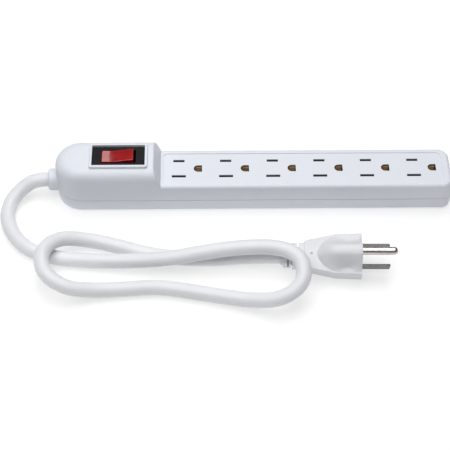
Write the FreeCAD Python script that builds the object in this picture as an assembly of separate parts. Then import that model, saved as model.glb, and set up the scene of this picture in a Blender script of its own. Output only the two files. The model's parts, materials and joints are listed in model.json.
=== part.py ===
import FreeCAD, Part

import os
from math import acos, cos, exp, pi, sin, sqrt, tan

from FreeCAD import Placement, Rotation, Vector

# Six-outlet power strip with a lighted rocker switch, a round cord and a three-pin plug.
# Millimetres.  X runs along the strip, from the cord end to the blind end, Y across it, Z up.
# The origin is the middle of the underside, so the strip stands on Z = 0.

# ---- housing -------------------------------------------------------------------------------
WALL = 2.0
HALF_WIDTH = 15.9
CORD_END_X = -121.8
BLIND_END_X = 127.5
CORNER_R = 6.5
SEAM_Z = 10.2
FACE_Z = 22.6
FACE_ROUND = 2.3
BASE_ROUND = 2.6
HUMP_Z = 33.6
HUMP_ROUND = 7.0
STEP_TOP_X = -60.5
STEP_FOOT_X = -56.3
STEP_ROUND = 0.8
SHADOW_GAP = 0.35
END_CENTRE_X = CORD_END_X + HALF_WIDTH
END_DRAFT = 1.3
DRAFT_START_X = 60.0

PANEL_X = (-54.9, 121.0)
PANEL_HALF_WIDTH = 12.2
PANEL_DEPTH = 0.4
PANEL_CORNER = 3.0

# ---- outlets -------------------------------------------------------------------------------
OUTLETS = 6
PITCH = 29.5
FIRST_OUTLET_X = -44.9
BLADE_OFFSET = 6.35
GROUND_OFFSET = 12.0
SLOT_WIDTH = 1.9
HOT_SLOT = 7.1
NEUTRAL_SLOT = 8.8
GROUND_HOLE_R = 2.7
GROUND_FLAT = 2.5
GUIDE_DEPTH = 3.0
GUIDE_WALL = 1.0
OUTLET_X = [FIRST_OUTLET_X + i * PITCH for i in range(OUTLETS)]

# ---- cord spout ----------------------------------------------------------------------------
CORD_R = 4.6
CORD_Z = 12.6
SPOUT_R = 7.0
SPOUT_X = -127.0
SPOUT_SET_BACK = 0.6
SPOUT_BORE_R = CORD_R + 0.1

# ---- switch --------------------------------------------------------------------------------
SWITCH_X = -82.2
RIM_Z = 35.3
RIM_WALL = 1.6
RECESS = (32.8, 16.4)
BEZEL = (32.4, 16.0)
BEZEL_Z = 33.9
LEDGE_Z = 31.0
LEDGE_UNDER_Z = 29.0
SWITCH_BODY = (27.4, 13.6)
SWITCH_FOOT_Z = 11.5
SWITCH_WALL = 1.2
ROCKER = (19.8, 9.3)
ROCKER_WELL = (21.6, 10.7)
PIVOT_Z = 29.5
PIVOT_R = 1.2
ROCKER_TILT = 6.0
PLUNGER_R = 1.2
PLUNGER_REACH = 10.78
LEVER_TILT = 3.0
LEVER_Z = 18.0
RUNNING_GAP = 0.05

# ---- fasteners and mounting ----------------------------------------------------------------
SCREW_R = 1.5
SCREW_HEAD_R = 2.7
SCREW_PLACES = [
    (-104, 10.4), (-104, -10.4), (-61, 11.0), (-61, -11.0), (34, 11.0), (34, -11.0), (121.9, 0)]
BOSS_R = 3.1
BOSS_SPLIT_Z = 9.0
KEYHOLE_X = (-59.3, 90.7)
KEYHOLE_Y = -2.4
KEYHOLE_R = 3.5
KEYHOLE_SLOT_R = 1.9
KEYHOLE_TRAVEL = 4.8
KEYHOLE_DEPTH = 2.6
CLAMP_X = -113.5
CLAMP_SCREW_Y = 6.4

# ---- bus bars ------------------------------------------------------------------------------
BRASS = 0.8
BLADE_T = 1.52
BUS_START_X = -54.5
BUS_Z = (4.2, 9.0)
FINGER_TOP_Z = 18.6
GROUND_BUS_Z = (6.0, 10.0)
GROUND_CLIP_GAP = 4.6
GROUND_CLIP_TOP_Z = 20.3
GROUND_LEAF = 0.7
GROUND_CLIP_HALF_LENGTH = 3.3

# ---- plug ----------------------------------------------------------------------------------
PLUG_FACE = Vector(65.66, -61.62, 11.0)
PLUG_YAW = -3.05
PLUG_PITCH = 3.05
PLUG_ROLL = 20.8
PLUG_LENGTH = 34.8
PLUG_HALF_THICK = 6.0
PLUG_HALF_WIDTH = 12.9
PLUG_SHOULDER = (-15.8, 12.4)
PLUG_SHOULDER_ROUND = 5.0
PLUG_REAR_HALF_WIDTH = 8.3
PLUG_REAR_ROUND = 1.4
BLADE_W = 6.35
BLADE_LENGTH = 17.1
PIN_R = 2.38
PIN_ROOT_R = 1.9
PIN_LENGTH = 21.1
PIN_OFFSET = 11.9
HUMP_HEIGHT = 9.3
HUMP_HALF_WIDTH = 12.3
HUMP_NOSE_U = -27.0
HUMP_FULL_U = -11.5
RELIEF_LENGTH = 14.4
RELIEF_CORE = 6.0

# ---- the cord's route, from the spout to the plug's strain relief ----------------------------
CORD_ROUTE = [
    (-127.0, 0.0, 12.6),
    (-136.0, 0.0, 12.6),
    (-144.8, -4.3, 8.2),
    (-151.6, -13.4, 5.4),
    (-152.2, -29.0, 4.7),
    (-141.6, -46.6, 4.7),
    (-126.0, -55.2, 4.7),
    (-104.0, -58.6, 4.7),
    (-82.0, -60.6, 6.4),
    (-64.0, -62.4, 9.8),
    (-48.0, -63.2, 13.0),
    (-31.0, -61.4, 15.7),
    (-9.5, -60.0, 18.8),
    (14.8, -61.1, 21.0),
    (28.4, -70.6, 22.9),
    (29.6, -85.8, 18.8),
    (16.2, -94.9, 13.5),
    (-2.0, -90.6, 6.8),
    (-22.0, -85.4, 4.7),
    (-41.0, -81.4, 4.7),
    (-59.0, -78.6, 4.7),
    (-77.0, -80.0, 4.7),
    (-94.0, -81.4, 5.4),
    (-111.5, -84.4, 11.6),
    (-125.6, -75.2, 15.0),
    (-127.8, -59.2, 16.2),
    (-118.0, -45.6, 11.4),
    (-99.5, -43.4, 5.6),
    (-81.0, -48.0, 4.7),
    (-63.0, -54.4, 4.7),
    (-43.0, -57.5, 4.7),
    (-22.8, -58.3, 5.3),
    (-3.344, -57.943, 7.318),
    (16.599, -59.006, 8.382),
]


# ---- helpers -------------------------------------------------------------------------------
def box(x_low, x_high, y_low, y_high, z_low, z_high):
    corner = Vector(x_low, y_low, z_low)
    return Part.makeBox(x_high - x_low, y_high - y_low, z_high - z_low, corner)


def centred_box(x, y, size, z_low, z_high):
    half_x = size[0] / 2
    half_y = size[1] / 2
    return box(x - half_x, x + half_x, y - half_y, y + half_y, z_low, z_high)


def post(x, y, z_low, z_high, radius):
    return Part.makeCylinder(radius, z_high - z_low, Vector(x, y, z_low))


def rod(start, end, radius):
    along = end - start
    return Part.makeCylinder(radius, along.Length, start, along)


def fuse(shapes):
    whole = shapes[0].multiFuse(shapes[1:])
    return whole.removeSplitter()


def rounded_rectangle(x_low, x_high, y_low, y_high, z_low, z_high, radius):
    block = box(x_low, x_high, y_low, y_high, z_low, z_high)
    upright = [e for e in block.Edges if abs(e.tangentAt(e.FirstParameter).z) > 0.9]
    return block.makeFillet(radius, upright)


def flat_edges_at(shape, height):
    """Edges that lie wholly at one height."""
    found = []
    for edge in shape.Edges:
        bounds = edge.BoundBox
        if abs(bounds.ZMin - height) < 1e-4 and abs(bounds.ZMax - height) < 1e-4:
            found.append(edge)
    return found


def save(name, shapes):
    """Writes one node, which may hold several separate solids."""
    if not isinstance(shapes, list):
        shapes = [shapes]
    solids = []
    for shape in shapes:
        solids.extend(shape.Solids)
    whole = solids[0] if len(solids) == 1 else Part.makeCompound(solids)
    whole.exportStep("parts/" + name + ".step")
    volume = sum(solid.Volume for solid in solids)
    valid = all(solid.isValid() for solid in solids)
    print("%-20s solids %2d  volume %9.1f  valid %s" % (name, len(solids), volume, valid))


# ---- round cords and wires -----------------------------------------------------------------
def tube_path(route):
    """Straight runs joined by tangent arcs, each as large as its two runs allow."""
    points = [Vector(*p) for p in route]
    edges = []
    radii = []
    start = points[0]
    for before, corner, after in zip(points, points[1:], points[2:]):
        back = before - corner
        ahead = after - corner
        reach = 0.45 * min(back.Length, ahead.Length)
        back.normalize()
        ahead.normalize()
        turn = pi - acos(max(-1.0, min(1.0, back.dot(ahead))))
        radius = reach / tan(turn / 2)
        arc_start = corner + back * reach
        arc_end = corner + ahead * reach
        inward = (back + ahead).normalize()
        to_centre = sqrt(radius ** 2 + reach ** 2)
        middle = corner + inward * (to_centre - radius)
        edges.append(Part.LineSegment(start, arc_start).toShape())
        edges.append(Part.Arc(arc_start, middle, arc_end).toShape())
        radii.append(radius)
        start = arc_end
    edges.append(Part.LineSegment(start, points[-1]).toShape())
    return Part.Wire(edges), radii


def tube(route, radius):
    path, radii = tube_path(route)
    first = Vector(*route[0])
    direction = Vector(*route[1]) - first
    section = Part.Wire(Part.makeCircle(radius, first, direction))
    return path.makePipeShell([section], True, False), path.Length, radii


# ---- housing -------------------------------------------------------------------------------
def plan_face(inset, height):
    """The strip seen from above: a full round cord end and a blind end with rounded corners."""
    half = HALF_WIDTH - inset
    right = BLIND_END_X - inset
    left_centre = END_CENTRE_X
    radius = CORNER_R - inset
    slant = radius * (1 - cos(pi / 4))

    def at(x, y):
        return Vector(x, y, height)

    edges = [
        Part.LineSegment(at(left_centre, -half), at(right - radius, -half)),
        Part.Arc(at(right - radius, -half), at(right - slant, -half + slant), at(right, -half + radius)),
        Part.LineSegment(at(right, -half + radius), at(right, half - radius)),
        Part.Arc(at(right, half - radius), at(right - slant, half - slant), at(right - radius, half)),
        Part.LineSegment(at(right - radius, half), at(left_centre, half)),
        Part.Arc(at(left_centre, half), at(left_centre - half, 0), at(left_centre, -half)),
    ]
    return Part.Face(Part.Wire([edge.toShape() for edge in edges]))


def low_block(inset):
    """The body below the outlet face; above the seam its blind end leans inwards."""
    top = FACE_Z - inset
    rise = Vector(0, 0, top - SEAM_Z)
    base = plan_face(inset, inset).extrude(Vector(0, 0, SEAM_Z - inset))
    cord_side = box(-150, DRAFT_START_X, -50, 50, SEAM_Z, top)
    blind_side = box(DRAFT_START_X, 150, -50, 50, SEAM_Z, top)
    upright = plan_face(inset, SEAM_Z).extrude(rise).common(cord_side)
    leaning = plan_face(inset, SEAM_Z).extrude(rise + Vector(-END_DRAFT, 0, 0)).common(blind_side)
    block = fuse([base, upright, leaning])
    if inset < FACE_ROUND:
        block = block.makeFillet(FACE_ROUND - inset, flat_edges_at(block, FACE_Z - inset))
    if inset < BASE_ROUND:
        block = block.makeFillet(BASE_ROUND - inset, flat_edges_at(block, inset))
    return block


def hump_profile(inset, half_only):
    """Cross-section of the switch end: upright sides, large round shoulders and a flat top."""
    half = HALF_WIDTH - inset
    radius = HUMP_ROUND - inset
    centre_y = HALF_WIDTH - HUMP_ROUND
    centre_z = HUMP_Z - HUMP_ROUND
    low = SEAM_Z
    lean = radius * cos(pi / 4)

    def at(y, z):
        return Vector(END_CENTRE_X, y, z)

    edges = [
        Part.LineSegment(at(half, low), at(half, centre_z)),
        Part.Arc(at(half, centre_z), at(centre_y + lean, centre_z + lean), at(centre_y, HUMP_Z - inset)),
    ]
    if half_only:
        edges.append(Part.LineSegment(at(centre_y, HUMP_Z - inset), at(0, HUMP_Z - inset)))
        edges.append(Part.LineSegment(at(0, HUMP_Z - inset), at(0, low)))
        edges.append(Part.LineSegment(at(0, low), at(half, low)))
    else:
        edges.append(Part.LineSegment(at(centre_y, HUMP_Z - inset), at(-centre_y, HUMP_Z - inset)))
        left_middle = at(-centre_y - lean, centre_z + lean)
        edges.append(Part.Arc(at(-centre_y, HUMP_Z - inset), left_middle, at(-half, centre_z)))
        edges.append(Part.LineSegment(at(-half, centre_z), at(-half, low)))
        edges.append(Part.LineSegment(at(-half, low), at(half, low)))
    return Part.Face(Part.Wire([edge.toShape() for edge in edges]))


def step_cutter(inset):
    """Everything to the right of the hump's sloping end face, above the outlet face."""
    rise = HUMP_Z - FACE_Z
    run = STEP_FOOT_X - STEP_TOP_X
    shift = inset * sqrt(rise ** 2 + run ** 2) / rise
    slope = run / rise
    reach = 40
    low_z = FACE_Z - reach
    high_z = HUMP_Z + reach
    low_x = STEP_FOOT_X - shift + reach * slope
    high_x = STEP_TOP_X - shift - reach * slope
    corners = [
        (low_x, low_z), (low_x + reach, low_z), (low_x + reach, high_z), (high_x, high_z), (low_x, low_z)]
    wire = Part.makePolygon([Vector(x, -reach, z) for x, z in corners])
    return Part.Face(wire).extrude(Vector(0, 2 * reach, 0))


def hump(inset):
    straight_length = STEP_FOOT_X + 3 - END_CENTRE_X
    straight = hump_profile(inset, False).extrude(Vector(straight_length, 0, 0))
    straight = straight.cut(step_cutter(inset))
    axis_point = Vector(END_CENTRE_X, 0, 0)
    end = hump_profile(inset, True).revolve(axis_point, Vector(0, 0, 1), 180)
    return [straight, end]


def rounded_step(body):
    """Breaks the top edge of the sloping end face."""
    edges = []
    for edge in body.Edges:
        bounds = edge.BoundBox
        on_slope = STEP_TOP_X - 0.01 < bounds.XMin and bounds.XMax < STEP_FOOT_X + 0.01
        if on_slope and bounds.ZMax > FACE_Z + 2.5 and bounds.YLength > 0.5:
            edges.append(edge)
    return body.makeFillet(STEP_ROUND, edges)


def body_solid(inset):
    return fuse([low_block(inset)] + hump(inset))


def ground_hole(x, z_low, z_high):
    """Round on the side of the blades and flat on the other."""
    hole = post(x, 0, z_low, z_high, GROUND_HOLE_R)
    beyond = box(x + GROUND_FLAT, x + 2 * GROUND_HOLE_R, -5, 5, z_low, z_high)
    square = box(x, x + GROUND_FLAT, -GROUND_HOLE_R, GROUND_HOLE_R, z_low, z_high)
    return hole.cut(beyond).fuse(square)


def outlet_cutters(x):
    low = FACE_Z - WALL - GUIDE_DEPTH - 1
    high = FACE_Z + 1
    hot = centred_box(x, BLADE_OFFSET, (HOT_SLOT, SLOT_WIDTH), low, high)
    neutral = centred_box(x, -BLADE_OFFSET, (NEUTRAL_SLOT, SLOT_WIDTH), low, high)
    return [hot, neutral, ground_hole(x + GROUND_OFFSET, low, high)]


def outlet_guides(x):
    """Collars under the outlet face that steer the blades into their contacts."""
    low = FACE_Z - WALL - GUIDE_DEPTH
    high = FACE_Z - WALL + 0.2
    extra = 2 * GUIDE_WALL
    hot = centred_box(x, BLADE_OFFSET, (HOT_SLOT + extra, SLOT_WIDTH + extra), low, high)
    neutral = centred_box(x, -BLADE_OFFSET, (NEUTRAL_SLOT + extra, SLOT_WIDTH + extra), low, high)
    return [hot, neutral]


def spout(x_end, z_low, z_high):
    barrel = rod(Vector(x_end, 0, CORD_Z), Vector(CORD_END_X + 3, 0, CORD_Z), SPOUT_R)
    barrel = barrel.makeChamfer(0.7, [edge for edge in barrel.Edges if edge.BoundBox.XMax < x_end + 0.01])
    return barrel.common(box(x_end - 1, CORD_END_X + 4, -10, 10, z_low, z_high))


def cord_bore():
    return rod(Vector(SPOUT_X - 1, 0, CORD_Z), Vector(CORD_END_X + 8, 0, CORD_Z), SPOUT_BORE_R)


def upper_bosses(inner):
    """Posts that the housing screws thread into, trimmed to the inside of the shell."""
    bosses = []
    for x, y in SCREW_PLACES:
        column = post(x, y, BOSS_SPLIT_Z + 0.1, HUMP_Z, BOSS_R)
        bosses.append(column.common(inner))
    return bosses


def bus_hold_downs():
    """Ribs under the outlet face that keep the bus bars in their notches."""
    ribs = []
    for x in OUTLET_X:
        rib_x = x + 7.0
        for side in (-1, 1):
            y = side * (BLADE_OFFSET + BLADE_T / 2 + BRASS / 2)
            ribs.append(centred_box(rib_x, y, (1.2, 2.2), BUS_Z[1] + 0.1, FACE_Z - WALL + 0.2))
    return ribs


def top_housing():
    outer = rounded_step(body_solid(0))
    inner = body_solid(WALL)
    shell = outer.cut(inner)
    above_seam = box(-200, 200, -50, 50, SEAM_Z, 60)
    rim_x = RECESS[0] + 2 * RIM_WALL
    rim_y = RECESS[1] + 2 * RIM_WALL
    rim = rounded_rectangle(
        SWITCH_X - rim_x / 2, SWITCH_X + rim_x / 2, -rim_y / 2, rim_y / 2, LEDGE_UNDER_Z, RIM_Z, 1.4)
    rim = rim.makeFillet(0.5, flat_edges_at(rim, RIM_Z))
    adds = [rim, spout(SPOUT_X, SEAM_Z, 30)]
    for x in OUTLET_X:
        adds.extend(outlet_guides(x))
    adds.extend(bus_hold_downs())
    adds.extend(upper_bosses(inner))
    housing = shell.common(above_seam).multiFuse(adds)
    cutters = [
        centred_box(SWITCH_X, 0, RECESS, LEDGE_Z, RIM_Z + 1),
        centred_box(SWITCH_X, 0, (SWITCH_BODY[0] + 0.2, SWITCH_BODY[1] + 0.2), 20, RIM_Z),
        rounded_rectangle(
            PANEL_X[0], PANEL_X[1], -PANEL_HALF_WIDTH, PANEL_HALF_WIDTH,
            FACE_Z - PANEL_DEPTH, FACE_Z + 1, PANEL_CORNER),
        cord_bore(),
    ]
    for x in OUTLET_X:
        cutters.extend(outlet_cutters(x))
    for x, y in SCREW_PLACES:
        cutters.append(post(x, y, BOSS_SPLIT_Z, 17, SCREW_R))
    return housing.cut(Part.makeCompound(cutters)).removeSplitter()


def keyhole(x):
    """Entry hole for a screw head, a slot for its shank, and the hollow behind them."""
    far_y = KEYHOLE_Y + KEYHOLE_TRAVEL
    entry = post(x, KEYHOLE_Y, -1, WALL + 0.1, KEYHOLE_R)
    slot = box(x - KEYHOLE_SLOT_R, x + KEYHOLE_SLOT_R, KEYHOLE_Y, far_y, -1, WALL + 0.1)
    slot_end = post(x, far_y, -1, WALL + 0.1, KEYHOLE_SLOT_R)
    hollow_z = WALL + KEYHOLE_DEPTH
    hollow = box(x - KEYHOLE_R, x + KEYHOLE_R, KEYHOLE_Y - KEYHOLE_R, far_y + KEYHOLE_R, WALL, hollow_z)
    return fuse([entry, slot, slot_end, hollow])


def keyhole_cover(x):
    """Box over a keyhole, so that a mounting screw can't reach the live parts."""
    skin = 0.7
    y_low = KEYHOLE_Y - KEYHOLE_R - skin
    y_high = KEYHOLE_Y + KEYHOLE_TRAVEL + KEYHOLE_R + skin
    reach = KEYHOLE_R + skin
    return box(x - reach, x + reach, y_low, y_high, WALL - 0.5, WALL + KEYHOLE_DEPTH + skin)


def bus_cradles():
    """Cross ribs on the floor with a notch for each bus bar."""
    ribs = []
    for x in OUTLET_X:
        rib_x = x + 7.0
        rib = box(rib_x - 0.7, rib_x + 0.7, -10.4, 10.4, WALL - 0.2, 7.6)
        for side in (-1, 1):
            y = side * (BLADE_OFFSET + BLADE_T / 2 + BRASS / 2)
            rib = rib.cut(centred_box(rib_x, y, (2, BRASS + 0.2), BUS_Z[0] - 0.1, 9))
        rib = rib.cut(centred_box(rib_x, 0, (2, GROUND_LEAF + 0.2), GROUND_BUS_Z[0] - 0.1, 9))
        ribs.append(rib)
    return ribs


def cord_saddle():
    """The cord's jacket lies in this block, under the clamp bar."""
    block = centred_box(CLAMP_X, 0, (7, 16.4), WALL - 0.2, CORD_Z)
    return block.cut(rod(Vector(-125, 0, CORD_Z), Vector(-105, 0, CORD_Z), CORD_R + 0.02))


def bottom_housing():
    outer = low_block(0)
    inner = low_block(WALL)
    below_seam = box(-200, 200, -50, 50, -1, SEAM_Z)
    shell = outer.cut(inner).common(below_seam)
    groove_outer = plan_face(-1, SEAM_Z - SHADOW_GAP).extrude(Vector(0, 0, 1))
    groove_inner = plan_face(SHADOW_GAP, SEAM_Z - SHADOW_GAP).extrude(Vector(0, 0, 1))
    lip_base = plan_face(WALL - 0.1, SEAM_Z - 1.5).extrude(Vector(0, 0, 1.4))
    lip_outer = plan_face(WALL + 0.2, SEAM_Z - 1.5).extrude(Vector(0, 0, 2.7))
    lip_inner = plan_face(WALL + 1.0, SEAM_Z - 1.5).extrude(Vector(0, 0, 2.7))
    lip = lip_base.fuse(lip_outer).cut(lip_inner).cut(box(-130, END_CENTRE_X - 5, -7.6, 7.6, 0, 20))
    for x, y in SCREW_PLACES:
        lip = lip.cut(post(x, y, BOSS_SPLIT_Z + 0.05, 20, BOSS_R + 0.2))
    adds = [lip, spout(SPOUT_X + SPOUT_SET_BACK, 0, SEAM_Z - 0.1), cord_saddle()]
    adds.extend(bus_cradles())
    within = plan_face(WALL - 0.5, 0).extrude(Vector(0, 0, 20))
    for x, y in SCREW_PLACES:
        adds.append(post(x, y, WALL - 0.5, BOSS_SPLIT_Z, BOSS_R).common(within))
    for x in KEYHOLE_X:
        adds.append(keyhole_cover(x))
    housing = shell.cut(groove_outer.cut(groove_inner)).multiFuse(adds)
    cutters = [cord_bore()]
    for x, y in SCREW_PLACES:
        cutters.append(post(x, y, -1, 4.2, SCREW_HEAD_R + 0.3))
        cutters.append(post(x, y, 4, 12, SCREW_R + 0.15))
    for x in KEYHOLE_X:
        cutters.append(keyhole(x))
    for x in OUTLET_X:
        cutters.append(post(x + GROUND_OFFSET, 0, 1.3, WALL + 0.1, 3.0))
    for side in (-1, 1):
        cutters.append(post(CLAMP_X, side * CLAMP_SCREW_Y, 4, 13, 1.0))
    cutters.append(rounded_rectangle(-36, 22, -10, 10, -1, 0.35, 1.5))
    return housing.cut(Part.makeCompound(cutters)).removeSplitter()


def rating_label():
    """Blank foil plate in its pocket on the underside."""
    return rounded_rectangle(-35.7, 21.7, -9.7, 9.7, 0.12, 0.35, 1.3)


def housing_screws():
    screws = []
    for x, y in SCREW_PLACES:
        head = post(x, y, 2.2, 4.2, SCREW_HEAD_R)
        cross = [centred_box(x, y, (3.2, 0.8), 2, 3.2), centred_box(x, y, (0.8, 3.2), 2, 3.2)]
        shank = post(x, y, 4.1, 16, SCREW_R)
        screws.append(head.cut(Part.makeCompound(cross)).fuse(shank))
    return screws


def cord_clamp():
    """Bar that is screwed down over the cord's jacket."""
    bar = centred_box(CLAMP_X, 0, (6, 16), CORD_Z, CORD_Z + 6.2)
    bar = bar.cut(rod(Vector(-125, 0, CORD_Z), Vector(-105, 0, CORD_Z), CORD_R + 0.02))
    holes = [post(CLAMP_X, side * CLAMP_SCREW_Y, CORD_Z - 1, CORD_Z + 8, 1.1) for side in (-1, 1)]
    return bar.cut(Part.makeCompound(holes))


def clamp_screws():
    screws = []
    for side in (-1, 1):
        y = side * CLAMP_SCREW_Y
        shank = post(CLAMP_X, y, 5, CORD_Z + 6.4, 1.0)
        head = post(CLAMP_X, y, CORD_Z + 6.2, CORD_Z + 7.8, 1.9)
        slot = centred_box(CLAMP_X, y, (4, 0.6), CORD_Z + 7.1, CORD_Z + 8)
        screws.append(shank.fuse(head).cut(slot))
    return screws


# ---- bus bars ------------------------------------------------------------------------------
def blade_bus(side):
    """Brass strip with a spring clip for a blade at each outlet."""
    blade_y = side * BLADE_OFFSET
    half = BLADE_T / 2

    def across(near, far, x_low, x_high, z_low, z_high):
        """A box given by its distances from the blade's plane, counted away from the middle."""
        ends = sorted((blade_y + side * near, blade_y + side * far))
        return box(x_low, x_high, ends[0], ends[1], z_low, z_high)

    last = OUTLET_X[-1] + 4.2
    parts = [across(half, half + BRASS, BUS_START_X, last, BUS_Z[0], BUS_Z[1])]
    parts.append(across(half - 4.4, half + BRASS, BUS_START_X, BUS_START_X + 4, BUS_Z[0], BUS_Z[0] + BRASS))
    for x in OUTLET_X:
        reach = 3.6
        parts.append(across(half, half + BRASS, x - reach, x + reach, BUS_Z[0], FINGER_TOP_Z - 1))
        parts.append(across(-half - BRASS, -half, x - reach, x + reach, BUS_Z[0], FINGER_TOP_Z - 1))
        parts.append(across(-half - BRASS, half + BRASS, x - reach, x + reach, BUS_Z[0], BUS_Z[0] + BRASS))
    return fuse(parts)


def ground_bus():
    """Strip down the middle that opens into a clip around each ground pin."""
    half_gap = GROUND_CLIP_GAP / 2
    half_out = half_gap + GROUND_LEAF
    centre = GROUND_LEAF / 2
    low, high = GROUND_BUS_Z
    parts = []
    start = BUS_START_X
    for x in OUTLET_X:
        pin_x = x + GROUND_OFFSET
        reach = GROUND_CLIP_HALF_LENGTH
        parts.append(box(start, pin_x - reach, -centre, centre, low, high))
        ring = box(pin_x - reach, pin_x + reach, -half_out, half_out, low, high)
        inner_reach = reach - GROUND_LEAF
        hollow = box(pin_x - inner_reach, pin_x + inner_reach, -half_gap, half_gap, low - 1, high + 1)
        parts.append(ring.cut(hollow))
        for y_low in (-half_out, half_gap):
            parts.append(box(pin_x - 2.2, pin_x + 2.2, y_low, y_low + GROUND_LEAF, high - 0.1, GROUND_CLIP_TOP_Z))
        start = pin_x + reach
    return fuse(parts)


# ---- switch --------------------------------------------------------------------------------
def tilt(shape, degrees_about_y, height=PIVOT_Z):
    """Turns a piece about the switch's cross axis at one height."""
    turned = shape.copy()
    turned.rotate(Vector(SWITCH_X, 0, height), Vector(0, 1, 0), degrees_about_y)
    return turned


def switch_housing():
    flange = rounded_rectangle(
        SWITCH_X - BEZEL[0] / 2, SWITCH_X + BEZEL[0] / 2, -BEZEL[1] / 2, BEZEL[1] / 2, LEDGE_Z, BEZEL_Z, 0.6)
    flange = flange.makeFillet(0.35, flat_edges_at(flange, BEZEL_Z))
    body = centred_box(SWITCH_X, 0, SWITCH_BODY, SWITCH_FOOT_Z, LEDGE_Z + 0.5)
    inside = (SWITCH_BODY[0] - 2 * SWITCH_WALL, SWITCH_BODY[1] - 2 * SWITCH_WALL)
    cavity = centred_box(SWITCH_X, 0, inside, SWITCH_FOOT_Z + SWITCH_WALL, LEDGE_Z - 1)
    well = rounded_rectangle(
        SWITCH_X - ROCKER_WELL[0] / 2, SWITCH_X + ROCKER_WELL[0] / 2,
        -ROCKER_WELL[1] / 2, ROCKER_WELL[1] / 2, LEDGE_Z - 5, BEZEL_Z + 1, 0.8)
    axle_bore = rod(Vector(SWITCH_X, -7.2, PIVOT_Z), Vector(SWITCH_X, 7.2, PIVOT_Z), PIVOT_R + RUNNING_GAP)
    cutters = [cavity, well, axle_bore]
    for x in (-9.2, 0, 9.2):
        cutters.append(centred_box(SWITCH_X + x, 0, (0.8, 6.3), SWITCH_FOOT_Z - 1, SWITCH_FOOT_Z + 2))
    ring = post(SWITCH_X - 13.2, 0, BEZEL_Z - 0.1, BEZEL_Z + 0.15, 1.5)
    ring = ring.cut(post(SWITCH_X - 13.2, 0, BEZEL_Z - 1, BEZEL_Z + 1, 1.05))
    bar = centred_box(SWITCH_X + 13.2, 0, (0.45, 3.2), BEZEL_Z - 0.1, BEZEL_Z + 0.15)
    housing = fuse([flange, body]).cut(Part.makeCompound(cutters))
    return housing.multiFuse([ring, bar]).removeSplitter()


def rocker():
    """Paddle with a long dished face, a short raised face, a stem and two axle stubs."""
    half = ROCKER[0] / 2
    low = BEZEL_Z - 2.4
    crease_x = 3.4

    def at(x, z):
        return Vector(SWITCH_X + x, -ROCKER[1] / 2, z)

    top_left = at(-half, BEZEL_Z + 1.6)
    crease = at(crease_x, BEZEL_Z + 0.95)
    top_right = at(half, BEZEL_Z + 1.35)
    edges = [
        Part.LineSegment(at(-half, low), top_left),
        Part.Arc(top_left, at(-3.4, BEZEL_Z + 0.85), crease),
        Part.LineSegment(crease, top_right),
        Part.LineSegment(top_right, at(half, low)),
        Part.LineSegment(at(half, low), at(3.4, PIVOT_Z - 2)),
        Part.LineSegment(at(3.4, PIVOT_Z - 2), at(-3.4, PIVOT_Z - 2)),
        Part.LineSegment(at(-3.4, PIVOT_Z - 2), at(-half, low)),
    ]
    face = Part.Face(Part.Wire([edge.toShape() for edge in edges]))
    paddle = face.extrude(Vector(0, ROCKER[1], 0))
    rims = [e for e in paddle.Edges if e.BoundBox.ZMin > BEZEL_Z + 0.5]
    paddle = paddle.makeFillet(0.35, rims)
    half_axle = ROCKER[1] / 2 + 1.9
    axle = rod(Vector(SWITCH_X, -half_axle, PIVOT_Z), Vector(SWITCH_X, half_axle, PIVOT_Z), PIVOT_R)
    stem = post(SWITCH_X, 0, PIVOT_Z - 6.6, PIVOT_Z - 1.5, 2.1)
    bore = post(SWITCH_X, 0, PIVOT_Z - 8, PIVOT_Z - 1.2, PLUNGER_R + RUNNING_GAP)
    return tilt(fuse([paddle, axle, stem]).cut(bore), -ROCKER_TILT)


def switch_plunger():
    tip = PIVOT_Z - PLUNGER_REACH
    pin = post(SWITCH_X, 0, tip, PIVOT_Z - 5.0, PLUNGER_R)
    pin = pin.makeFillet(0.9, flat_edges_at(pin, tip))
    return tilt(pin, -ROCKER_TILT)


def plunger_spring():
    """Coil between the plunger and the blind end of its bore in the rocker."""
    low = PIVOT_Z - 4.75
    height = 3.2
    coil_r = 0.85
    turns = 4
    steps = 8 * turns
    route = []
    for i in range(steps + 1):
        angle = 2 * pi * turns * i / steps
        route.append((SWITCH_X + coil_r * cos(angle), coil_r * sin(angle), low + height * i / steps))
    return tilt(tube(route, 0.17)[0], -ROCKER_TILT)


def contact_lever():
    """Seesaw plate that the plunger tips; the left end carries the moving contact."""
    plate = box(SWITCH_X - 9, SWITCH_X + 7, -2.2, 2.2, LEVER_Z, LEVER_Z + 0.7)
    button = post(SWITCH_X - 7.6, 0, LEVER_Z - 0.9, LEVER_Z, 1.4)
    return tilt(plate.fuse(button), LEVER_TILT, LEVER_Z)


def line_terminal():
    """Spade that stands through the switch's floor and carries the bimetal arm."""
    return centred_box(SWITCH_X - 9.2, 0, (0.8, 6.3), 4.0, SWITCH_FOOT_Z + 3.4)


def bimetal_arm():
    """Strip that bends and opens the contact when the load is too high; it holds the fixed contact."""
    foot = SWITCH_FOOT_Z + 3.4
    strip = box(SWITCH_X - 9.7, SWITCH_X - 3.6, -1.8, 1.8, foot, foot + 0.4)
    return strip.fuse(post(SWITCH_X - 7.6, 0, foot + 0.3, foot + 1.75, 1.5))


def load_terminal():
    """Centre spade, whose upper edge is the lever's fulcrum."""
    spade = centred_box(SWITCH_X, 0, (0.8, 6.3), 4.0, SWITCH_FOOT_Z + 2.2)
    return spade.fuse(centred_box(SWITCH_X, 0, (0.8, 3.4), SWITCH_FOOT_Z + 2, LEVER_Z - 0.35))


def lamp_terminal():
    return centred_box(SWITCH_X + 9.2, 0, (0.8, 6.3), 4.0, SWITCH_FOOT_Z + 3.0)


def neon_lamp():
    centre = Vector(SWITCH_X + 7.4, -3.4, 24.6)
    glass = rod(centre, centre + Vector(0, 6.4, 0), 1.9)
    return glass.makeFillet(0.8, glass.Edges[0:1] + glass.Edges[2:3])


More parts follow.
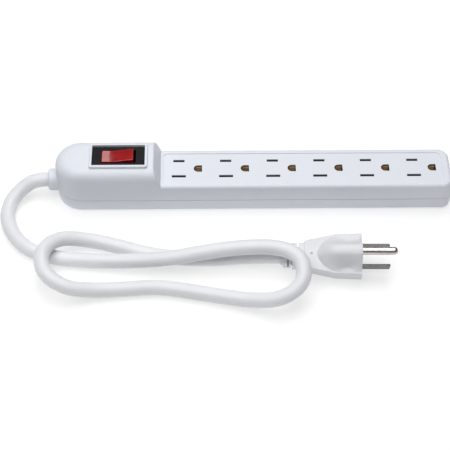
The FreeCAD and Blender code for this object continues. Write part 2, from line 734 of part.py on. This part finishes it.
def lamp_resistor():
    start = Vector(SWITCH_X + 9.6, -3.0, 20.4)
    body = rod(start, start + Vector(0, 6, 0), 1.1)
    caps = [rod(start + Vector(0, y, 0), start + Vector(0, y + 1.2, 0), 1.3) for y in (0, 4.8)]
    lead = rod(start + Vector(0, 3, -5.88), start + Vector(0, 3, 0), 0.3)
    return fuse([body] + caps + [lead])


def terminal_sleeves():
    """Push-on sleeves that join the wires to the three spades."""
    sleeves = []
    for x in (-9.2, 0, 9.2):
        sleeve = centred_box(SWITCH_X + x, 0, (2.6, 7.6), 3.2, SWITCH_FOOT_Z - 0.5)
        sleeves.append(sleeve.cut(centred_box(SWITCH_X + x, 0, (0.9, 6.4), 3.9, SWITCH_FOOT_Z)))
    return sleeves


# ---- wires inside the housing --------------------------------------------------------------
WIRE_R = 1.25
LAMP_WIRE_R = 0.8
SHEATH_END_X = -108.6
FLANGE_TOP_Z = BUS_Z[0] + BRASS
WIRE_END_X = BUS_START_X + 3
WIRES = {
    "line_wire": [
        (SHEATH_END_X, 2.2, 12.6), (-105.0, 2.2, 12.6), (-101.0, 2.5, 10.0), (-96.6, 2.4, 6.8),
        (-92.75, 2.4, 6.6)],
    "load_wire": [
        (-80.85, 2.4, 6.4), (-77.8, 2.4, 6.4), (-75.2, 6.2, 6.6), (-69.5, 6.6, 8.0),
        (-61.5, 5.4, 8.0), (-56.0, 5.6, 6.5), (WIRE_END_X, 5.7, FLANGE_TOP_Z + WIRE_R + 0.05)],
    "neutral_wire": [
        (SHEATH_END_X, -2.2, 12.6), (-105.0, -2.2, 12.6), (-99.6, -5.6, 11.0), (-94.0, -9.4, 8.6),
        (-83.0, -10.4, 7.0), (-72.0, -9.4, 7.4), (-66.0, -6.8, 8.0), (-60.0, -5.5, 7.8),
        (-56.0, -5.6, 6.5), (WIRE_END_X, -5.75, FLANGE_TOP_Z + WIRE_R + 0.05)],
    "lamp_wire": [
        (-71.65, -2.4, 6.6), (-68.6, -2.4, 6.6), (-63.0, -2.6, 6.7), (-57.0, -3.0, 6.7),
        (WIRE_END_X, -3.4, FLANGE_TOP_Z + LAMP_WIRE_R + 0.1)],
    "ground_wire": [
        (SHEATH_END_X, 0.0, 14.9), (-105.0, 0.0, 14.9), (-100.5, 5.2, 15.6), (-95.0, 9.4, 14.6),
        (-82.0, 10.4, 13.0), (-70.0, 9.4, 13.2), (-64.5, 5.6, 13.6), (-59.0, 1.2, 12.6),
        (-55.2, 0.1, 11.6), (WIRE_END_X, 0.0, GROUND_BUS_Z[1] + WIRE_R + 0.02)],
}


def inner_sheath():
    """The stretch of cord jacket inside the spout and under the clamp."""
    return rod(Vector(SPOUT_X, 0, CORD_Z), Vector(SHEATH_END_X, 0, CORD_Z), CORD_R)


# ---- plug ----------------------------------------------------------------------------------
def place_plug(shape):
    """From the plug's own frame (U to the blade tips, V across the blades, W to the ground pin)."""
    turn = Rotation(Vector(0, 0, 1), PLUG_YAW)
    turn = turn.multiply(Rotation(Vector(0, 1, 0), -PLUG_PITCH))
    turn = turn.multiply(Rotation(Vector(1, 0, 0), PLUG_ROLL))
    placed = shape.copy()
    placed.Placement = Placement(PLUG_FACE, turn).multiply(placed.Placement)
    return placed


def plug_slab():
    """Flat body, widest at the face, with a shoulder where it starts to narrow towards the cord."""
    thick = PLUG_HALF_THICK
    shoulder_u, shoulder_v = PLUG_SHOULDER
    flank = [(0, PLUG_HALF_WIDTH), (shoulder_u, shoulder_v), (-PLUG_LENGTH, PLUG_REAR_HALF_WIDTH)]
    corners = flank + [(u, -v) for u, v in reversed(flank)]
    outline = Part.makePolygon([Vector(u, v, -thick) for u, v in corners + corners[:1]])
    slab = Part.Face(outline).extrude(Vector(0, 0, 2 * thick))
    upright = [edge for edge in slab.Edges if edge.BoundBox.ZLength > thick]
    rear = [edge for edge in upright if edge.BoundBox.XMax < -PLUG_LENGTH + 0.1]
    slab = slab.makeFillet(PLUG_REAR_ROUND, rear)
    upright = [edge for edge in slab.Edges if edge.BoundBox.ZLength > thick]
    shoulders = [edge for edge in upright if abs(edge.BoundBox.XMax - shoulder_u) < 0.1]
    slab = slab.makeFillet(PLUG_SHOULDER_ROUND, shoulders)
    level = flat_edges_at(slab, thick) + flat_edges_at(slab, -thick)
    return slab.makeFillet(0.6, [edge for edge in level if edge.BoundBox.XMin < -0.1])


def hump_section(u):
    """Outline across the plug: a soft bell at the face that turns into a plain arch at the nose."""
    back = max(0.0, (HUMP_FULL_U - u) / (HUMP_FULL_U - HUMP_NOSE_U))
    arch = min(1.0, back * 1.4)
    height = HUMP_HEIGHT * (1 - back ** 2.6)
    half_width = HUMP_HALF_WIDTH * sqrt(max(1 - back ** 1.7, 0.02))
    sunk = 0.12 + 0.4 * arch
    foot = PLUG_HALF_THICK - sunk
    low = foot - 3
    points = []
    for i in range(25):
        across = -1 + i / 12
        bell = 1 / (1 + exp(11 * (abs(across) - 0.46)))
        rise = (1 - arch) * bell + arch * max(cos(across * pi / 2), 0)
        points.append(Vector(u, across * half_width, foot + (height + sunk) * rise))
    curve = Part.BSplineCurve()
    curve.interpolate(points)
    near, far = points[0], points[-1]
    near_low = Vector(u, near.y, low)
    far_low = Vector(u, far.y, low)
    sides = [
        Part.LineSegment(near_low, near).toShape(),
        curve.toShape(),
        Part.LineSegment(far, far_low).toShape(),
        Part.LineSegment(far_low, near_low).toShape(),
    ]
    return Part.Wire(sides)


def plug_hump():
    """Smooth shoulder over the ground pin, with a rounded nose that runs down to the slab."""
    stations = [0, -6.0, HUMP_FULL_U, -15.0, -18.5, -21.5, -24.2, -25.9, HUMP_NOSE_U]
    return Part.makeLoft([hump_section(u) for u in stations], True, False)


def blade(v):
    core = box(-11, BLADE_LENGTH, v - BLADE_T / 2, v + BLADE_T / 2, -BLADE_W / 2, BLADE_W / 2)
    tip = [e for e in core.Edges if e.BoundBox.XMin > BLADE_LENGTH - 0.01]
    return core.makeChamfer(0.5, tip)


def ground_pin():
    straight = PIN_LENGTH - PIN_R
    pin = rod(Vector(0, 0, PIN_OFFSET), Vector(straight, 0, PIN_OFFSET), PIN_R)
    root = rod(Vector(-11, 0, PIN_OFFSET), Vector(0.5, 0, PIN_OFFSET), PIN_ROOT_R)
    nose = Part.makeSphere(PIN_R, Vector(straight, 0, PIN_OFFSET))
    return fuse([pin, root, nose])


def plug_bridge():
    """Hard insert that holds the blades and the pin in place inside the soft moulding."""
    block = box(-9, -2, -8.6, 8.6, -4, 4)
    tower = box(-9, -2, -2.5, 2.5, 3, PIN_OFFSET)
    head = rod(Vector(-9, 0, PIN_OFFSET), Vector(-2, 0, PIN_OFFSET), 2.8)
    bridge = fuse([block, tower, head])
    return bridge.cut(Part.makeCompound([blade(BLADE_OFFSET), blade(-BLADE_OFFSET), ground_pin()]))


def relief_ring(start, end, half_width, half_thick):
    """One rounded block of the relief, by its distances behind the plug's rear face."""
    ring = box(
        -PLUG_LENGTH - end, -PLUG_LENGTH - start, -half_width, half_width, -half_thick, half_thick)
    long_edges = [e for e in ring.Edges if e.BoundBox.XLength > end - start - 0.1]
    return ring.makeFillet(2.4, long_edges)


def plug_relief():
    """Segmented sleeve that stops the cord from bending sharply at the plug."""
    rings = [(0.0, 3.2, 7.5, 5.4), (4.1, 7.3, 7.4, 5.2), (8.0, 12.9, 6.4, 4.8)]
    parts = [rod(Vector(-PLUG_LENGTH - RELIEF_LENGTH, 0, 0), Vector(-PLUG_LENGTH + 0.5, 0, 0), 5.3)]
    for start, end, half_width, half_thick in rings:
        parts.append(relief_ring(start, end, half_width, half_thick))
    parts.append(rod(Vector(-PLUG_LENGTH + RELIEF_CORE, 0, 0), Vector(-PLUG_LENGTH, 0, 0), 4.0))
    relief = fuse(parts)
    for side in (-1, 1):
        ends = sorted((side * 3.2, side * 7.0))
        slot = box(-PLUG_LENGTH - 10.1, -PLUG_LENGTH - 9.2, ends[0], ends[1], -1.0, 9)
        relief = relief.cut(slot)
    return relief


def plug_body():
    dimple = Part.makeCone(0.3, 0.8, 1.2, Vector(-30.2, 0, PLUG_HALF_THICK - 1.1))
    body = fuse([plug_slab(), plug_hump()])
    held = [plug_bridge(), blade(BLADE_OFFSET), blade(-BLADE_OFFSET), ground_pin(), plug_relief()]
    held.append(dimple)
    for piece in held:
        body = body.cut(piece)
    return body


# ---- build ---------------------------------------------------------------------------------
def main():
    os.makedirs("parts", exist_ok=True)
    save("top_housing", top_housing())
    save("bottom_housing", bottom_housing())
    save("rating_label", rating_label())
    save("housing_screws", housing_screws())
    save("cord_clamp", cord_clamp())
    save("clamp_screws", clamp_screws())
    save("hot_bus", blade_bus(1))
    save("neutral_bus", blade_bus(-1))
    save("ground_bus", ground_bus())
    save("switch_housing", switch_housing())
    save("rocker", rocker())
    save("switch_plunger", switch_plunger())
    save("plunger_spring", plunger_spring())
    save("contact_lever", contact_lever())
    save("line_terminal", line_terminal())
    save("bimetal_arm", bimetal_arm())
    save("load_terminal", load_terminal())
    save("lamp_terminal", lamp_terminal())
    save("neon_lamp", neon_lamp())
    save("lamp_resistor", lamp_resistor())
    save("terminal_sleeves", terminal_sleeves())
    for name, route in WIRES.items():
        save(name, tube(route, LAMP_WIRE_R if name == "lamp_wire" else WIRE_R)[0])
    save("cord_inner_sheath", inner_sheath())
    save("plug_body", place_plug(plug_body()))
    save("plug_bridge", place_plug(plug_bridge()))
    save("plug_hot_blade", place_plug(blade(BLADE_OFFSET)))
    save("plug_neutral_blade", place_plug(blade(-BLADE_OFFSET)))
    save("plug_ground_pin", place_plug(ground_pin()))
    save("plug_strain_relief", place_plug(plug_relief()))
    cord, length, radii = tube(CORD_ROUTE, CORD_R)
    save("cord", cord)
    ratio = cord.Volume / (pi * CORD_R ** 2 * length)
    print("cord length %.0f mm, volume over section times length %.4f" % (length, ratio))
    print("cord arc radii: " + " ".join("%.0f" % radius for radius in radii))


main()
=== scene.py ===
import json
from math import cos, radians, sin

import bpy
from mathutils import Matrix, Vector


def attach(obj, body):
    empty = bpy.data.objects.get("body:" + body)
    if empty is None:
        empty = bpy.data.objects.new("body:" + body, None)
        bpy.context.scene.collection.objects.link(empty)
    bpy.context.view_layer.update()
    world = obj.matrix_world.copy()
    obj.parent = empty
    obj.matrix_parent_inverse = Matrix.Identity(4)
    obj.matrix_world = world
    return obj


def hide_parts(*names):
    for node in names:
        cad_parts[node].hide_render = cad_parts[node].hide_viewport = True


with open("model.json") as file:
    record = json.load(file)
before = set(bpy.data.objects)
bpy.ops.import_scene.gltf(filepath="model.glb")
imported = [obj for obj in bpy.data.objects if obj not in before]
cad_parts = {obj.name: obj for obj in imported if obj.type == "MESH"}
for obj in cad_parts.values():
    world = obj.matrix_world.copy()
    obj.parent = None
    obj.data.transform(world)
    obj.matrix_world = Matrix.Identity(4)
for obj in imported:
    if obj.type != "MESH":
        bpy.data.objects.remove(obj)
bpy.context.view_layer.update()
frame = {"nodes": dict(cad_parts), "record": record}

# Looks for a six-outlet power strip: the free cord, the finish of every piece, and the studio.
# Metres.  X runs along the strip, Y across it, Z up; the strip stands on Z = 0.
MM = 0.001

# ---- camera --------------------------------------------------------------------------------
VIEW_TARGET = Vector((-16.44, -34.20, 8.0)) * MM
VIEW_DISTANCE = 753.2 * MM
VIEW_ELEVATION = radians(51.42)
VIEW_AZIMUTH = radians(2.24)
VIEW_ROLL = radians(1.365)
LENS = 97.2
SENSOR_WIDTH = 36

# ---- studio --------------------------------------------------------------------------------
FLOOR_HALF_SIDE = 3.0
FLOOR_DROP = 0.2 * MM
SKY_COLOUR = (0.95, 0.97, 1.0)
SKY_STRENGTH = 0.13
LIGHTS = {
    "overhead": {
        "place": (-0.12, 0.03, 1.0), "aim": (-0.02, -0.02, 0), "size": (1.5, 0.9), "power": 14.4},
    "rocker_glint": {
        "place": (0.12, 0.70, 0.86), "aim": (-0.082, 0.0, 0.034), "size": (0.09, 0.05),
        "power": 0.34},
}

# ---- cord ----------------------------------------------------------------------------------
CORD_RADIUS = 4.6 * MM
CORD_ROUTE = [
    (-127.0, 0.0, 12.6),
    (-136.0, 0.0, 12.6),
    (-144.8, -4.3, 8.2),
    (-151.6, -13.4, 5.4),
    (-152.2, -29.0, 4.7),
    (-141.6, -46.6, 4.7),
    (-126.0, -55.2, 4.7),
    (-104.0, -58.6, 4.7),
    (-82.0, -60.6, 6.4),
    (-64.0, -62.4, 9.8),
    (-48.0, -63.2, 13.0),
    (-31.0, -61.4, 15.7),
    (-9.5, -60.0, 18.8),
    (14.8, -61.1, 21.0),
    (28.4, -70.6, 22.9),
    (29.6, -85.8, 18.8),
    (16.2, -94.9, 13.5),
    (-2.0, -90.6, 6.8),
    (-22.0, -85.4, 4.7),
    (-41.0, -81.4, 4.7),
    (-59.0, -78.6, 4.7),
    (-77.0, -80.0, 4.7),
    (-94.0, -81.4, 5.4),
    (-111.5, -84.4, 11.6),
    (-125.6, -75.2, 15.0),
    (-127.8, -59.2, 16.2),
    (-118.0, -45.6, 11.4),
    (-99.5, -43.4, 5.6),
    (-81.0, -48.0, 4.7),
    (-63.0, -54.4, 4.7),
    (-43.0, -57.5, 4.7),
    (-22.8, -58.3, 5.3),
    (-3.344, -57.943, 7.318),
    (16.599, -59.006, 8.382),
]
CORD_SIDES_RESOLUTION = 10
CORD_RUN_RESOLUTION = 14

# ---- surfaces ------------------------------------------------------------------------------
RAMP_START = 0.35
RAMP_END = 0.65
ROLLING_STRETCH = (0.06, 1, 1)
MILKY_SCATTER = (1.0, 0.95, 0.92)

# White plastic with painted shade inside the shell under the outlets: a dark colour between its
# walls, above its floor and below the outlet face, fading in over the depth of a slot's mouth.
HOUSING_COLOUR = (0.668, 0.690, 0.742)
HOUSING_SHADE = 0.985
# Colour of the painted shade in the slots, and the heights where it is full and where it is gone.
SLOT_PAINTED_SHADE = (0.06, 0.06, 0.066)
SLOT_SHADE_FULL_Z = 21.0 * MM
SLOT_SHADE_GONE_Z = 22.1 * MM
SHELL_INSIDE_Y = 13.5 * MM
SHELL_FLOOR_Z = 2.4 * MM
SHELL_START_X = -56.0 * MM
SHELL_END_X = 121.0 * MM


# ---- camera, floor and light ---------------------------------------------------------------
def add_camera():
    data = bpy.data.cameras.new("camera")
    data.lens = LENS
    data.sensor_width = SENSOR_WIDTH
    camera = bpy.data.objects.new("camera", data)
    bpy.context.scene.collection.objects.link(camera)
    ahead = Vector((
        sin(VIEW_AZIMUTH) * cos(VIEW_ELEVATION),
        cos(VIEW_AZIMUTH) * cos(VIEW_ELEVATION),
        -sin(VIEW_ELEVATION)))
    turn = ahead.to_track_quat("-Z", "Y").to_matrix().to_4x4()
    place = Matrix.Translation(VIEW_TARGET - ahead * VIEW_DISTANCE)
    camera.matrix_world = place @ turn @ Matrix.Rotation(VIEW_ROLL, 4, "Z")
    bpy.context.scene.camera = camera


def add_area_light(name, place, aim, size, power):
    """A white rectangular light at place, turned to shine on aim."""
    data = bpy.data.lights.new(name, "AREA")
    data.shape = "RECTANGLE"
    data.size, data.size_y = size
    data.energy = power
    light = bpy.data.objects.new(name, data)
    bpy.context.scene.collection.objects.link(light)
    light.location = place
    light.rotation_euler = (Vector(aim) - Vector(place)).to_track_quat("-Z", "Y").to_euler()


def add_floor():
    """A square floor, set a little low so that it doesn't flicker against the housing's base."""
    half = FLOOR_HALF_SIDE
    corners = [(-half, -half, 0), (half, -half, 0), (half, half, 0), (-half, half, 0)]
    mesh = bpy.data.meshes.new("floor")
    mesh.from_pydata(corners, [], [(0, 1, 2, 3)])
    floor = bpy.data.objects.new("floor", mesh)
    floor.location.z = -FLOOR_DROP
    bpy.context.scene.collection.objects.link(floor)
    mesh.materials.append(floor_material())


def add_world(colour, strength):
    world = bpy.data.worlds.new("studio")
    world.use_nodes = True
    background = world.node_tree.nodes["Background"]
    background.inputs["Color"].default_value = (*colour, 1)
    background.inputs["Strength"].default_value = strength
    bpy.context.scene.world = world


# ---- material helpers ----------------------------------------------------------------------
class Surface:
    """A Principled material with short calls for the noise that breaks up its finish.

    Other Principled inputs are given by name, with _ for each space.
    """

    def __init__(self, name, colour, roughness, **sockets):
        self.material = bpy.data.materials.new(name)
        self.material.use_nodes = True
        self.nodes = self.material.node_tree.nodes
        self.links = self.material.node_tree.links
        self.shader = self.nodes["Principled BSDF"]
        self.name = name
        self.colour = colour
        self.roughness = roughness
        self.shader.inputs["Base Color"].default_value = (*colour, 1)
        self.shader.inputs["Roughness"].default_value = roughness
        for socket, value in sockets.items():
            self.shader.inputs[socket.replace("_", " ")].default_value = value
        self.place = self.nodes.new("ShaderNodeTexCoord").outputs["Object"]

    def noise(self, grain_mm, detail=3.0, stretch=None):
        """Noise whose features are about grain_mm across, stretched along an axis if asked."""
        source = self.place
        if stretch:
            mapping = self.nodes.new("ShaderNodeMapping")
            mapping.inputs["Scale"].default_value = stretch
            self.links.new(source, mapping.inputs["Vector"])
            source = mapping.outputs["Vector"]
        texture = self.nodes.new("ShaderNodeTexNoise")
        texture.inputs["Scale"].default_value = 1 / (grain_mm * MM)
        texture.inputs["Detail"].default_value = detail
        self.links.new(source, texture.inputs["Vector"])
        return texture.outputs["Fac"]

    def vary_colour(self, factor, other):
        """Drifts from the base colour to another one as factor grows."""
        ramp = self.nodes.new("ShaderNodeValToRGB")
        first, last = ramp.color_ramp.elements
        first.position, last.position = RAMP_START, RAMP_END
        first.color, last.color = (*self.colour, 1), (*other, 1)
        self.links.new(factor, ramp.inputs["Fac"])
        self.links.new(ramp.outputs["Color"], self.shader.inputs["Base Color"])

    def fade(self, value, start, end):
        """0 where value is under start, 1 where it is over end, and a straight fade between."""
        fade = self.nodes.new("ShaderNodeMapRange")
        fade.inputs["From Min"].default_value = start
        fade.inputs["From Max"].default_value = end
        self.links.new(value, fade.inputs["Value"])
        return fade.outputs["Result"]

    def math(self, operation, *values):
        """The result of a math node, whose values are numbers or other nodes' outputs."""
        node = self.nodes.new("ShaderNodeMath")
        node.operation = operation
        for socket, value in zip(node.inputs, values):
            if isinstance(value, (int, float)):
                socket.default_value = value
            else:
                self.links.new(value, socket)
        return node.outputs["Value"]

    def blend_base(self, factor, other):
        """Fades the base colour to another one where the factor is 0."""
        base = self.shader.inputs["Base Color"].links[0].from_socket
        blend = self.nodes.new("ShaderNodeMix")
        blend.data_type = "RGBA"
        first, second = [socket for socket in blend.inputs if socket.type == "RGBA"]
        first.default_value = (*other, 1)
        self.links.new(factor, blend.inputs[0])
        self.links.new(base, second)
        mixed = [socket for socket in blend.outputs if socket.type == "RGBA"][0]
        self.links.new(mixed, self.shader.inputs["Base Color"])

    def vary_roughness(self, factor, below, above):
        """Spreads the roughness from that much below its own value to that much above it."""
        spread = self.nodes.new("ShaderNodeMapRange")
        spread.inputs["To Min"].default_value = self.roughness - below
        spread.inputs["To Max"].default_value = self.roughness + above
        self.links.new(factor, spread.inputs["Value"])
        self.links.new(spread.outputs["Result"], self.shader.inputs["Roughness"])

    def bump(self, factor, height_mm):
        bump = self.nodes.new("ShaderNodeBump")
        bump.inputs["Strength"].default_value = 1
        bump.inputs["Distance"].default_value = height_mm * MM
        self.links.new(factor, bump.inputs["Height"])
        self.links.new(bump.outputs["Normal"], self.shader.inputs["Normal"])


# ---- materials -----------------------------------------------------------------------------
def floor_material():
    """Back-lit white acrylic, which keeps shadows faint and lights the sides from below."""
    surface = Surface(
        "floor", (0.50, 0.50, 0.50), 0.9, Specular_IOR_Level=0.1,
        Emission_Color=(1.0, 1.0, 1.0, 1.0), Emission_Strength=0.52)
    surface.vary_colour(surface.noise(grain_mm=60), (0.495, 0.495, 0.495))
    return surface.material


def moulded(name, colour, shade, roughness, grain_mm=0.35, height_mm=0.006, **sockets):
    """Moulded plastic: a fine spark-eroded grain, slow colour drift and uneven gloss."""
    surface = Surface(name, colour, roughness, **sockets)
    surface.vary_colour(surface.noise(grain_mm=14, detail=2), shade)
    surface.vary_roughness(surface.noise(grain_mm=5, detail=4), below=0.05, above=0.06)
    surface.bump(surface.noise(grain_mm, detail=2), height_mm)
    return surface


def housing_plastic():
    """White moulded plastic with painted shade inside the slots, where only stray light gets in.
    """
    shade = [HOUSING_SHADE * part for part in HOUSING_COLOUR]
    surface = moulded("housing_plastic", HOUSING_COLOUR, shade, 0.42, Specular_IOR_Level=0.35)
    split = surface.nodes.new("ShaderNodeSeparateXYZ")
    surface.links.new(surface.place, split.inputs["Vector"])
    x, y, z = (split.outputs[axis] for axis in "XYZ")
    outside = (
        surface.math("GREATER_THAN", surface.math("ABSOLUTE", y), SHELL_INSIDE_Y),
        surface.math("LESS_THAN", x, SHELL_START_X),
        surface.math("GREATER_THAN", x, SHELL_END_X),
        surface.math("LESS_THAN", z, SHELL_FLOOR_Z))
    # Painted shade: full deep in the slots, fading out towards the outlet face, none outside the
    # shell.
    lit = surface.fade(z, SLOT_SHADE_FULL_Z, SLOT_SHADE_GONE_Z)
    for part in outside:
        lit = surface.math("MAXIMUM", lit, part)
    # Paints the shade colour over the base colour inside the slots.
    surface.blend_base(lit, SLOT_PAINTED_SHADE)
    return surface


def metal(name, colour, shade, roughness, metallic=1.0):
    """Rolled or drawn metal, with fine lines along the piece."""
    surface = Surface(name, colour, roughness, Metallic=metallic)
    lines = surface.noise(grain_mm=0.25, detail=4, stretch=ROLLING_STRETCH)
    surface.vary_colour(surface.noise(grain_mm=4, detail=3), shade)
    surface.vary_roughness(lines, below=0.06, above=0.12)
    surface.bump(lines, height_mm=0.004)
    return surface


def soft_vinyl(name, colour, shade, roughness=0.42, **sockets):
    """Flexible vinyl: a faint orange-peel skin, over a milky body where the sockets ask for it."""
    surface = Surface(name, colour, roughness, **sockets)
    surface.vary_colour(surface.noise(grain_mm=18, detail=3), shade)
    surface.vary_roughness(surface.noise(grain_mm=3, detail=4), below=0.06, above=0.08)
    surface.bump(surface.noise(grain_mm=0.9, detail=3), height_mm=0.012)
    return surface


def red_lens():
    """The rocker's translucent red plastic, polished on top."""
    surface = Surface(
        "rocker_red", (0.34, 0.008, 0.010), 0.14,
        Coat_Weight=0.5, Coat_Roughness=0.06, Subsurface_Weight=0.1, Subsurface_Scale=0.8 * MM)
    surface.vary_colour(surface.noise(grain_mm=5, detail=2), (0.25, 0.005, 0.007))
    surface.vary_roughness(surface.noise(grain_mm=1.5, detail=3), below=0.04, above=0.04)
    surface.bump(surface.noise(grain_mm=0.6, detail=2), height_mm=0.004)
    return surface


def lamp_glass():
    surface = Surface(
        "lamp_glass", (0.95, 0.82, 0.74), 0.05, Transmission_Weight=0.85, IOR=1.5)
    surface.vary_roughness(surface.noise(grain_mm=0.8, detail=2), below=0.02, above=0.04)
    return surface


def make_materials():
    """One material for each of the record's slots: colour, the shade it drifts to, roughness."""
    surfaces = [
        housing_plastic(),
        metal("label_foil", (0.80, 0.81, 0.82), (0.74, 0.75, 0.77), 0.38),
        metal("screw_steel", (0.62, 0.63, 0.65), (0.50, 0.51, 0.54), 0.30),
        moulded("clamp_plastic", (0.04, 0.04, 0.042), (0.03, 0.03, 0.032), 0.5),
        metal("bus_brass", (0.92, 0.60, 0.32), (0.82, 0.50, 0.24), 0.42, metallic=0.35),
        moulded(
            "switch_plastic", (0.010, 0.0098, 0.012), (0.008, 0.0078, 0.010), 0.42,
            grain_mm=0.25, height_mm=0.01, Specular_IOR_Level=0.12),
        red_lens(),
        moulded("plunger_plastic", (0.80, 0.79, 0.74), (0.75, 0.74, 0.69), 0.4),
        metal("spring_steel", (0.66, 0.67, 0.69), (0.55, 0.56, 0.58), 0.25),
        metal("contact_brass", (0.78, 0.62, 0.40), (0.66, 0.52, 0.32), 0.32),
        metal("bimetal_steel", (0.60, 0.58, 0.55), (0.50, 0.46, 0.42), 0.35),
        lamp_glass(),
        moulded("resistor_body", (0.58, 0.46, 0.28), (0.50, 0.39, 0.23), 0.35),
        moulded("sleeve_plastic", (0.46, 0.03, 0.025), (0.38, 0.022, 0.02), 0.4),
        soft_vinyl("wire_black", (0.02, 0.02, 0.021), (0.03, 0.03, 0.031)),
        soft_vinyl("wire_white", (0.78, 0.78, 0.75), (0.72, 0.72, 0.69)),
        soft_vinyl("wire_green", (0.02, 0.22, 0.05), (0.016, 0.17, 0.04)),
        soft_vinyl(
            "cord_jacket", (0.72, 0.725, 0.745), (0.705, 0.71, 0.73),
            Subsurface_Weight=0.7, Subsurface_Scale=5 * MM, Subsurface_Radius=MILKY_SCATTER),
        soft_vinyl(
            "plug_plastic", (0.67, 0.675, 0.70), (0.655, 0.66, 0.685), 0.40,
            Subsurface_Weight=0.15, Subsurface_Scale=2 * MM, Subsurface_Radius=MILKY_SCATTER),
        moulded("bridge_plastic", (0.72, 0.72, 0.68), (0.66, 0.66, 0.62), 0.45),
        metal("blade_nickel", (0.085, 0.081, 0.079), (0.06, 0.057, 0.056), 0.24),
        metal("pin_nickel", (0.58, 0.54, 0.515), (0.50, 0.465, 0.445), 0.26),
    ]
    return {surface.name: surface.material for surface in surfaces}


def dress_nodes(materials):
    """Gives every CAD node the material that its entry in the record names."""
    for entry in frame["record"]["subparts"]:
        slots = frame["nodes"][entry["node"]].data.materials
        slots.clear()
        slots.append(materials[entry["material_slot"]])


# ---- pieces --------------------------------------------------------------------------------
def add_cord(material):
    """The free cord, as one smooth round curve from the spout to the plug's strain relief."""
    data = bpy.data.curves.new("cord_run", "CURVE")
    data.dimensions = "3D"
    data.bevel_depth = CORD_RADIUS
    data.bevel_resolution = CORD_SIDES_RESOLUTION
    data.resolution_u = CORD_RUN_RESOLUTION
    spline = data.splines.new("NURBS")
    spline.points.add(len(CORD_ROUTE) - 1)
    for point, place in zip(spline.points, CORD_ROUTE):
        point.co = (*(Vector(place) * MM), 1)
    spline.order_u = 3
    spline.use_endpoint_u = True
    data.materials.append(material)
    cord = bpy.data.objects.new("cord_run", data)
    bpy.context.scene.collection.objects.link(cord)
    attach(cord, "strip")
    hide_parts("cord")


# ---- scene ---------------------------------------------------------------------------------
add_camera()
materials = make_materials()
add_cord(materials["cord_jacket"])
dress_nodes(materials)
add_floor()
add_world(SKY_COLOUR, SKY_STRENGTH)
for name, light in LIGHTS.items():
    add_area_light(name, **light)
bpy.context.scene.view_settings.view_transform = "Standard"
